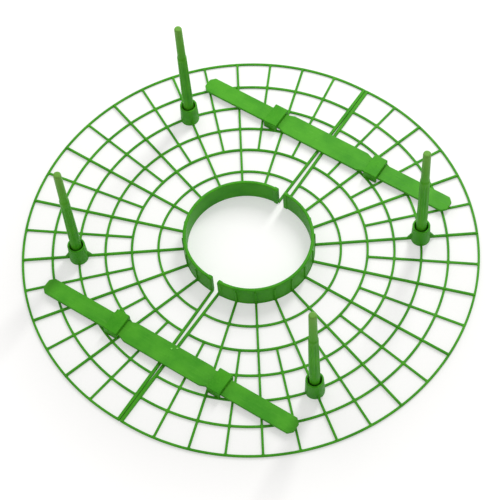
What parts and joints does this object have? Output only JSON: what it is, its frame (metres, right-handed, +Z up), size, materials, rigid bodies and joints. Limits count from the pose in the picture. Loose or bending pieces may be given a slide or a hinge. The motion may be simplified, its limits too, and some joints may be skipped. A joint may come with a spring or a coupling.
{
  "type": "strawberry plant support",
  "caption": "Round open-mesh disc with a central collar, split into half discs that flat straps join, with push-in legs that hold strawberry plants off the soil.",
  "frame": {"origin": "centre of the plant hole, in the plane of the disc's smooth face, on which it lies as pictured", "axes": "+Z up along the collar, from the smooth face towards the leg tips; Y along the split between the halves; X along the straps, +X towards half B"},
  "size_m": [0.3022, 0.296, 0.1],
  "materials": {
    "mesh_green": "satin moulded polypropylene",
    "strap_green": "satin moulded polypropylene",
    "leg_green": "satin moulded polypropylene"
  },
  "bodies": {
    "half_a": {"half_disc_a": "mesh_green"},
    "half_b": {"half_disc_b": "mesh_green"},
    "front_strap": {"strap_front": "strap_green"},
    "back_strap": {"strap_back": "strap_green"},
    "front_leg_a": {"leg_a_front": "leg_green"},
    "back_leg_a": {"leg_a_back": "leg_green"},
    "front_leg_b": {"leg_b_front": "leg_green"},
    "back_leg_b": {"leg_b_back": "leg_green"}
  },
  "joints": [
    {"name": "half_b_slide", "type": "slide", "parent": "half_a", "child": "half_b", "axis": [1, 0, 0], "range_m": [0, 0.13]},
    {"name": "front_strap_slide", "type": "slide", "parent": "half_a", "child": "front_strap", "axis": [1, 0, 0], "range_m": [0, 0.065]},
    {"name": "back_strap_slide", "type": "slide", "parent": "half_a", "child": "back_strap", "axis": [1, 0, 0], "range_m": [0, 0.065]},
    {"name": "front_leg_a_pull", "type": "slide", "parent": "half_a", "child": "front_leg_a", "axis": [0, 0, 1], "range_m": [0, 0.018]},
    {"name": "back_leg_a_pull", "type": "slide", "parent": "half_a", "child": "back_leg_a", "axis": [0, 0, 1], "range_m": [0, 0.018]},
    {"name": "front_leg_b_pull", "type": "slide", "parent": "half_b", "child": "front_leg_b", "axis": [0, 0, 1], "range_m": [0, 0.018]},
    {"name": "back_leg_b_pull", "type": "slide", "parent": "half_b", "child": "back_leg_b", "axis": [0, 0, 1], "range_m": [0, 0.018]}
  ],
  "couplings": [
    {"joint": "front_strap_slide", "follows": "half_b_slide", "ratio": 0.5},
    {"joint": "back_strap_slide", "follows": "half_b_slide", "ratio": 0.5}
  ]
}
